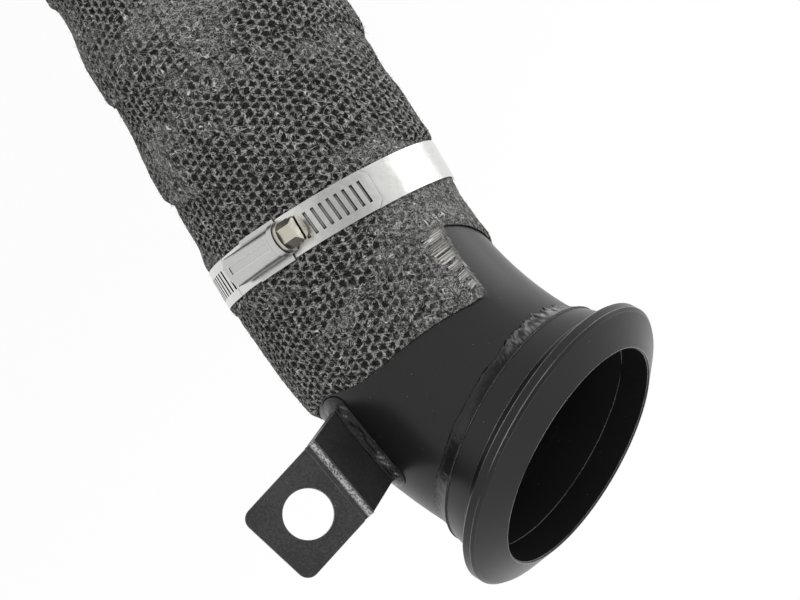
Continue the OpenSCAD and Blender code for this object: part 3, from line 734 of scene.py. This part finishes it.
def new_material(name):
    """Material with the helper for its nodes and its principled shader."""
    material = bpy.data.materials.new(name)
    material.use_nodes = True
    n = Nodes(material.node_tree)
    return material, n, material.node_tree.nodes["Principled BSDF"]


def link(n, value, shader, name):
    """Joins a value to one of the shader's inputs."""
    n.tree.links.new(value, shader.inputs[name])


def grey(level):
    """Grey colour of one brightness."""
    return (level, level, level, 1)


def tinted(colour, factor):
    """A colour made darker or lighter."""
    return [c * factor for c in colour[:3]] + [1]


def satin_coat(
    name,
    colour,
    rough,
    bump,
    specks,
    wear_and_sheen_amount,
    wear_and_sheen=0.12,
    scale=1400.0,
    painted_streak_highlight=0.0,
    even=0.4,
    shine=0.3,
    painted_highlight_normal=None,
):
    """Black high-temperature coating with fine grain, dust specks, and lighter edges of wear and painted
    highlight.

    The grain has a bump height and a scale, and a smaller even gives it more contrast. Edges lighten by a
    given amount to a given brightness, partly wear and partly a painted highlight; the marked streaks of a
    weld get a painted highlight at a given brightness; and faces that look the way of a given normal get a
    painted highlight, a lighter colour broken by the grain.
    """
    material, n, shader = new_material(name)
    grain = n.add("ShaderNodeGroup", {"Bump": bump, "Scale": scale}, node_tree=GRAIN)
    dust = n.add("ShaderNodeGroup", {"Amount": specks}, node_tree=SPECKS)
    mottle = n.ramp(grain.outputs["Mask"], 0.5 - even, 0.5 + even)
    base = n.mix(mottle, tinted(colour, 0.75), tinted(colour, 1.35))
    # Lighter edges: partly wear, partly a painted highlight where edges catch the light.
    edges = n.add("ShaderNodeGroup", {"Radius": 0.0004, "Wear": wear_and_sheen_amount}, node_tree=EDGES)
    base = n.mix(edges.outputs["Worn"], base, grey(wear_and_sheen))
    base = n.mix(dust.outputs["Mask"], base, (0.35, 0.35, 0.33, 1))
    # Painted highlight: faces that look the way of the given normal, the bracket's bend, get a lighter colour
    # broken by the grain.
    if painted_highlight_normal:
        faces_highlight_way = n.ramp(n.dot(n.add("ShaderNodeNewGeometry").outputs["Normal"], painted_highlight_normal), 0.95, 0.99)
        painted_ridge_highlight = n.math("MULTIPLY", faces_highlight_way, n.ramp(grain.outputs["Mask"], 0.4, 0.52))
        base = n.mix(painted_ridge_highlight, base, (0.6, 0.6, 0.59, 1))
    # Painted highlight streaks on the weld beads, where their mesh marks them.
    if painted_streak_highlight:
        base = n.mix(n.attribute("painted_streak_highlight"), base, grey(painted_streak_highlight))
    link(n, base, shader, "Base Color")
    link(n, n.math("MULTIPLY_ADD", grain.outputs["Mask"], 0.12, rough - 0.06), shader, "Roughness")
    link(n, grain.outputs["Normal"], shader, "Normal")
    shader.inputs["Specular IOR Level"].default_value = shine
    return material


def bright_metal(name, colour, rough, bump):
    """Rolled or plated metal: fine marks that vary its colour and roughness, soft waves in its face, a
    painted highlight on its edges and painted shade in its crevices."""
    material, n, shader = new_material(name)
    grain = n.add("ShaderNodeGroup", {"Scale": 700.0, "Bump": bump}, node_tree=GRAIN)
    occlusion_for_painted_shade = n.add("ShaderNodeAmbientOcclusion", {"Distance": 0.0016}, samples=8).outputs["AO"]
    marked = n.mix(grain.outputs["Mask"], tinted(colour, 0.8), colour)
    # Painted shade: nearly black where ambient occlusion finds crevices, such as the band's slots.
    base = n.mix(n.ramp(occlusion_for_painted_shade, 0.45, 0.9), (0.02, 0.02, 0.019, 1), marked)
    edges = n.add("ShaderNodeGroup", {"Radius": 0.0003}, node_tree=EDGES)
    # Painted highlight: edges get a near-white colour.
    painted_edge_highlight = n.ramp(edges.outputs["Cosine"], 0.93, 0.75)
    link(n, n.mix(painted_edge_highlight, base, (0.97, 0.97, 0.96, 1)), shader, "Base Color")
    link(n, n.math("MULTIPLY_ADD", grain.outputs["Mask"], 0.2, rough - 0.1), shader, "Roughness")
    waves = n.add("ShaderNodeGroup", {"Normal": grain.outputs["Normal"]}, node_tree=WAVES)
    link(n, waves.outputs["Normal"], shader, "Normal")
    shader.inputs["Metallic"].default_value = 1.0
    return material


def hole_group():
    """One column family of the knit's holes, as knit_holes does it, from places in columns and holes."""
    tree, n, put, out = new_group(
        "knit_holes",
        [("Along", "Float", 0.0), ("Across", "Float", 0.0), ("Shift", "Float", 0.0)],
        [("Mask", "Float"), ("Rim", "Float")],
    )
    half = n.math("MULTIPLY", n.math("SUBTRACT", put["Along"], put["Shift"]), 0.5)
    p = n.math("MULTIPLY", n.math("SUBTRACT", half, n.math("ROUND", half)), 2.0)
    q = n.math("MULTIPLY_ADD", put["Shift"], -0.5, put["Across"])
    q = n.math("SUBTRACT", q, n.math("ROUND", q))
    side = n.math("ABSOLUTE", n.math("MULTIPLY_ADD", q, 0.5, n.math("MULTIPLY", p, 0.75)))
    down = n.math("MULTIPLY_ADD", q, -0.5, n.math("MULTIPLY", p, 0.25))
    slanted = n.math("SUBTRACT", n.math("MULTIPLY", side, 2.17), n.math("MULTIPLY_ADD", down, 2.0, 0.6))
    corner = n.math("MAXIMUM", slanted, n.math("MULTIPLY_ADD", down, 5.0, -1.1))
    wide = n.math("POWER", n.math("MULTIPLY", side, 2.5), 2.0)
    tall = n.math("POWER", n.math("MULTIPLY", down, 4.0), 2.0)
    oval = n.math("SUBTRACT", n.math("SQRT", n.math("ADD", wide, tall)), 1.0)
    away = n.math("MULTIPLY_ADD", oval, 0.6, n.math("MULTIPLY", corner, 0.4))
    mask = n.ramp(away, 0.05, -0.15)
    # Painted highlight on the yarn just above each hole: a thin ring round the hole, on its upper side only.
    beside = n.math("ABSOLUTE", n.math("SUBTRACT", away, 0.2))
    painted_rim_highlight = n.math("MULTIPLY", n.math("MULTIPLY_ADD", beside, -5.0, 1.0, clamp=True), n.ramp(down, 0.12, -0.02))
    tree.links.new(mask, out.inputs["Mask"])
    tree.links.new(painted_rim_highlight, out.inputs["Rim"])
    return tree


def strand_group():
    """Thin curling strands: the places where a noise passes its middle value, broken up by a second noise."""
    inputs = [
        ("Place", "Vector", (0, 0, 0)),
        ("Scale", "Float", 1.7),
        ("Width", "Float", 0.03),
        ("Share", "Float", 0.5),
    ]
    tree, n, put, out = new_group("curling_strands", inputs, [("Mask", "Float")])
    noise = n.noise(put["Place"], put["Scale"], Detail=1.5, Distortion=0.6)
    off = n.math("ABSOLUTE", n.math("SUBTRACT", noise, 0.5))
    line = n.math("SUBTRACT", 1.0, n.math("DIVIDE", off, put["Width"]), clamp=True)
    broken = n.noise(put["Place"], 1.3, Detail=2.0)
    kept = n.ramp(n.math("ADD", broken, n.math("MULTIPLY_ADD", put["Share"], 0.4, -0.2)), 0.46, 0.56)
    tree.links.new(n.math("MULTIPLY", line, kept), out.inputs["Mask"])
    return tree


HOLES, STRANDS = hole_group(), strand_group()


def knit_masks(n, uv):
    """Masks of the knit's holes and of a painted highlight on the yarn above them, made ragged by shaking the
    place.
    """
    ragged = n.add("ShaderNodeTexNoise", {"Vector": uv, "Scale": 3.1, "Detail": 2.0}).outputs["Color"]
    shake = n.vector("SUBTRACT", ragged, (0.5, 0.5, 0.5))
    shake = n.add("ShaderNodeVectorMath", {0: shake, "Scale": RAGGED}, operation="SCALE").outputs[0]
    along, across, _ = n.add("ShaderNodeSeparateXYZ", {0: n.vector("ADD", uv, shake)}).outputs
    family = [
        n.add("ShaderNodeGroup", {"Along": along, "Across": across, "Shift": shift}, node_tree=HOLES).outputs
        for shift in (0.0, 1.0)
    ]
    holes = n.math("MAXIMUM", family[0]["Mask"], family[1]["Mask"])
    return holes, n.math("MAXIMUM", family[0]["Rim"], family[1]["Rim"])


def strand_layer(n, uv, offset, scale, width, share):
    """One layer of curling strands, laid at its own place in the noise."""
    place = n.vector("ADD", uv, (offset, offset, offset))
    inputs = {"Place": place, "Scale": scale, "Width": width, "Share": share}
    return n.add("ShaderNodeGroup", inputs, node_tree=STRANDS).outputs[0]


def woven_cloth():
    """Basalt cloth: painted shade in the knit's holes and in the gaps at the cut, grey on its yarns with a
    painted highlight above each hole, and pale strands curling over both.
    """
    material, n, shader = new_material("basalt_cloth")
    uv = n.add("ShaderNodeUVMap", uv_map="UVMap").outputs[0]
    loose = n.attribute("knit_open")
    holes, painted_rim_highlights = knit_masks(n, uv)
    hole = n.math("MULTIPLY", holes, n.ramp(loose, 0.1, 0.7))
    curls, small_curls, long_strands = [strand_layer(n, uv, *kind) for kind in STRAND_KINDS]
    some = n.noise(uv, 1.9, Detail=2.0)
    drawn = n.vector("MULTIPLY", uv, (0.55, 1.5, 1.0))
    fine = n.noise(drawn, 4.5, Detail=3.0, Roughness=0.75)
    broken = n.math("MULTIPLY", n.ramp(some, 0.42, 0.6), n.ramp(fine, 0.42, 0.6))
    # Painted highlight on the yarn above each hole, broken up by noise; it also brightens the strands and
    # lightens the yarn there.
    painted_rim_highlight = n.math("MULTIPLY", n.math("MULTIPLY", painted_rim_highlights, broken), loose)
    over = n.math("SUBTRACT", 1.0, n.math("MULTIPLY", hole, 0.9))
    lit = n.math("MULTIPLY_ADD", painted_rim_highlight, 1.0, 0.5, clamp=True)
    pale = n.math("MULTIPLY", n.math("MULTIPLY", n.math("MAXIMUM", curls, small_curls), over), lit)
    pale = n.math("MAXIMUM", pale, long_strands)
    broad = n.noise(uv, 0.11, Detail=2.0)
    tone = n.math("ADD", n.ramp(fine, 0.43, 0.61), n.math("MULTIPLY_ADD", broad, 0.4, -0.2))
    tone = n.math("MULTIPLY_ADD", painted_rim_highlight, 0.6, tone, clamp=True)
    base = n.mix(tone, YARN_DARK, YARN_LIGHT)
    painted_gap_shade = n.attribute("painted_gap_shade")
    # Painted shade in the knit's holes and in the gaps between the bundles at the cut.
    base = n.mix(n.math("MAXIMUM", hole, n.math("MULTIPLY", painted_gap_shade, 0.8)), base, PAINTED_SHADE_DARK)
    link(n, n.mix(pale, base, STRAND_PALE), shader, "Base Color")
    height = n.math("ADD", n.math("MULTIPLY", fine, 0.6), n.math("MULTIPLY", pale, 0.5))
    height = n.math("SUBTRACT", height, n.math("MULTIPLY", hole, 0.9))
    bump = n.add("ShaderNodeBump", {"Strength": 0.8, "Distance": 0.0003, "Height": height})
    link(n, bump.outputs[0], shader, "Normal")
    shader.inputs["Roughness"].default_value = 0.85
    shader.inputs["Specular IOR Level"].default_value = 0.15
    return material


def fibre_material(name, colour, rough):
    """Loose mineral fibres: a plain colour, darker or lighter from fibre to fibre."""
    material, n, shader = new_material(name)
    shade = n.math("POWER", n.attribute("shade"), 2.0)
    link(n, n.mix(shade, tinted(colour, 0.2), colour), shader, "Base Color")
    shader.inputs["Roughness"].default_value = rough
    shader.inputs["Specular IOR Level"].default_value = 0.2
    return material


def dress(node, material):
    """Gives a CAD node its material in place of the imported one."""
    mesh = NODES[node].data
    mesh.materials.clear()
    mesh.materials.append(material)


COAT = satin_coat("satin_black_coat", (0.013, 0.013, 0.014, 1), rough=0.34, bump=0.05, specks=0.35, wear_and_sheen_amount=2.0)
PLATE_COAT = satin_coat(
    "powdered_plate_coat",
    (0.034, 0.034, 0.035, 1),
    rough=0.4,
    bump=0.4,
    specks=0.6,
    wear_and_sheen_amount=3.5,
    wear_and_sheen=0.4,
    scale=1500.0,
    even=0.04,
    shine=0.4,
    # Normal of the bracket's bend, whose faces get a painted highlight
    painted_highlight_normal=(-0.86, -0.11, 0.5),
)
# The flange's rim edges are lightened strongly: partly wear, partly a painted highlight along them.
FLANGE_COAT = satin_coat(
    "turned_black_coat", (0.010, 0.010, 0.011, 1), rough=0.32, bump=0.08, specks=0.35, wear_and_sheen_amount=9.0, wear_and_sheen=0.6
)
BEAD_COAT = satin_coat(
    "coated_weld_bead", (0.011, 0.011, 0.012, 1), rough=0.34, bump=0.1, specks=0.4, wear_and_sheen_amount=0.5, painted_streak_highlight=0.3
)
PRESSED = bright_metal("pressed_stainless", (0.6, 0.6, 0.585, 1), rough=0.3, bump=0.2)
STEEL = bright_metal("rolled_stainless", (0.76, 0.76, 0.74, 1), rough=0.24, bump=0.2)
NICKEL = bright_metal("plated_screw", (0.62, 0.58, 0.5, 1), rough=0.3, bump=0.15)
CLOTH = woven_cloth()
FUZZ = fibre_material("wrap_fibre", (0.4, 0.4, 0.385, 1), 0.6)
BRIGHT_FIBRE = fibre_material("cut_fibre", (0.95, 0.94, 0.9, 1), 0.45)

dress("downpipe_tube", COAT)
dress("bracket", PLATE_COAT)
dress("turbo_flange", FLANGE_COAT)
for clamp in ("clamp_1", "clamp_2"):
    dress(clamp + "_band", STEEL)
    dress(clamp + "_housing", PRESSED)
    dress(clamp + "_screw", NICKEL)


def finished(piece, material):
    """The piece with its material."""
    piece.data.materials.append(material)
    return piece


# The strip in stretches, each under the limit of faces, and the lengths at which they end
STRETCHES = 6
stretch_ends = np.linspace(0, STRIP_L, STRETCHES + 1)
fuzz = [
    finished(wrap_fuzz(), FUZZ),
    finished(wrap_edge_fuzz(), FUZZ),
    finished(cut_strands(), BRIGHT_FIBRE),
    finished(cut_fringe(), BRIGHT_FIBRE),
]
for k in range(STRETCHES):
    piece = strip_piece(f"heat_wrap_{k + 1}", stretch_ends[k], stretch_ends[k + 1])
    strip = finished(piece, CLOTH)
    if k == 0:
        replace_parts(strip, "heat_wrap")
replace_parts(finished(flange_bead(), BEAD_COAT), "flange_weld")
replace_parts(finished(bracket_bead(), BEAD_COAT), "bracket_weld")


# Floor, lamps and camera

def floor():
    """Pale floor just under the part, seen as nearly white, that still takes its shadow."""
    half = 15.0
    low = CAD_BOX[0][2] - 0.002
    corners = [(-half, -half, low), (half, -half, low), (half, half, low), (-half, half, low)]
    mesh = bpy.data.meshes.new("floor")
    mesh.from_pydata(corners, [], [(0, 1, 2, 3)])
    piece = bpy.data.objects.new("floor", mesh)
    bpy.context.scene.collection.objects.link(piece)
    material, n, shader = new_material("pale_floor")
    shader.inputs["Base Color"].default_value = (0.9, 0.9, 0.9, 1)
    shader.inputs["Roughness"].default_value = 0.9
    glow = n.add("ShaderNodeEmission", {"Color": (1, 1, 1, 1), "Strength": 1.0}).outputs[0]
    rays = n.add("ShaderNodeLightPath").outputs
    seen = n.math("MAXIMUM", rays["Is Camera Ray"], rays["Is Glossy Ray"])
    seen = n.math("MAXIMUM", seen, rays["Is Transmission Ray"])
    away = n.add("ShaderNodeVectorMath", {0: n.object_place()}, operation="LENGTH").outputs["Value"]
    share = n.math("MULTIPLY", seen, n.math("MULTIPLY_ADD", n.ramp(away, 0.45, 0.8), 0.05, 0.95))
    mix = n.add("ShaderNodeMixShader", {0: share, 1: shader.outputs[0], 2: glow})
    n.tree.links.new(mix.outputs[0], n.tree.nodes["Material Output"].inputs["Surface"])
    mesh.materials.append(material)


def softbox(name, place, aim, size, watts, mirrored=False):
    """Square soft lamp that looks from its place at its aim: it lights the surfaces, or it only glints on
    them."""
    lamp = bpy.data.lights.new(name, "AREA")
    lamp.shape, lamp.size, lamp.energy = "SQUARE", size, watts
    holder = bpy.data.objects.new(name, lamp)
    holder.visible_glossy, holder.visible_diffuse = mirrored, not mirrored
    turn = (Vector(aim) - Vector(place)).to_track_quat("-Z", "Y").to_matrix().to_4x4()
    holder.matrix_world = Matrix.Translation(place) @ turn
    bpy.context.scene.collection.objects.link(holder)


# The photograph's camera: its place, and its right, up and back directions
EYE = Vector((-355.6, -519.2, 220.2)) * MM
RIGHT = Vector((-0.2102, 0.582, 0.7856)).normalized()
BACK = Vector((-0.4937, -0.7567, 0.4285)).normalized()
UP = BACK.cross(RIGHT).normalized()
LENS_MM = 99.0
# Middle of what the photograph shows, in metres
CENTRE = Vector((-0.06, 0.0, -0.13))
# Light all round the part, and the dim room in reflections, as shares of the white behind the part
LIGHT_AROUND, ROOM = 0.25, 0.5


def camera():
    """Camera at the photograph's place, turned as it was held."""
    data = bpy.data.cameras.new("camera")
    data.lens, data.sensor_width, data.sensor_fit = LENS_MM, 36.0, "HORIZONTAL"
    data.clip_start, data.clip_end = 0.01, 50.0
    holder = bpy.data.objects.new("camera", data)
    turn = Matrix((RIGHT, UP, BACK)).transposed().to_4x4()
    holder.matrix_world = Matrix.Translation(EYE) @ turn
    bpy.context.scene.collection.objects.link(holder)
    bpy.context.scene.camera = holder


def world():
    """White behind the part, for the camera and in reflections, a dim room behind the camera, and a softer
    white that lights the part."""
    made = bpy.data.worlds.new("white_tent")
    bpy.context.scene.world = made
    made.use_nodes = True
    n = Nodes(made.node_tree)
    back = made.node_tree.nodes["Background"]
    rays = n.add("ShaderNodeLightPath").outputs
    way = n.add("ShaderNodeTexCoord").outputs["Generated"]
    dim = tuple((BACK + RIGHT * 0.35).normalized())
    room = n.math("MULTIPLY_ADD", n.ramp(n.dot(way, dim), 0.97, 0.72), 1 - ROOM, ROOM)
    mirrored = n.math("MAXIMUM", rays["Is Glossy Ray"], rays["Is Transmission Ray"])
    strength = n.mix(mirrored, LIGHT_AROUND, room, "FLOAT")
    strength = n.mix(rays["Is Camera Ray"], strength, 1.0, "FLOAT")
    back.inputs["Color"].default_value = (1, 1, 1, 1)
    n.tree.links.new(strength, back.inputs["Strength"])


floor()
softbox("tent_top", CENTRE + (UP * 0.8 + RIGHT * 0.9 - BACK * 0.3) * 0.9, CENTRE, 0.9, 6)
softbox("tent_left", CENTRE + (RIGHT * -1.0 + BACK * 0.35 + UP * 0.2) * 0.9, CENTRE, 0.9, 4)
softbox("tent_low", CENTRE + (UP * -1.0 + BACK * 0.2 + RIGHT * 0.2) * 0.85, CENTRE, 0.8, 3)
softbox("tent_far", CENTRE + (BACK * -1.0 + UP * 0.4) * 0.9, CENTRE, 0.9, 4)
softbox("tent_front", CENTRE + (BACK * 1.0 + UP * 0.25 + RIGHT * 0.1) * 1.0, CENTRE, 0.9, 5)
softbox("glint", CENTRE + (UP * 0.8 + RIGHT * 0.9 - BACK * 0.3) * 0.95, CENTRE, 0.9, 3.2, mirrored=True)
camera()
world()
bpy.context.scene.view_settings.view_transform = "Standard"
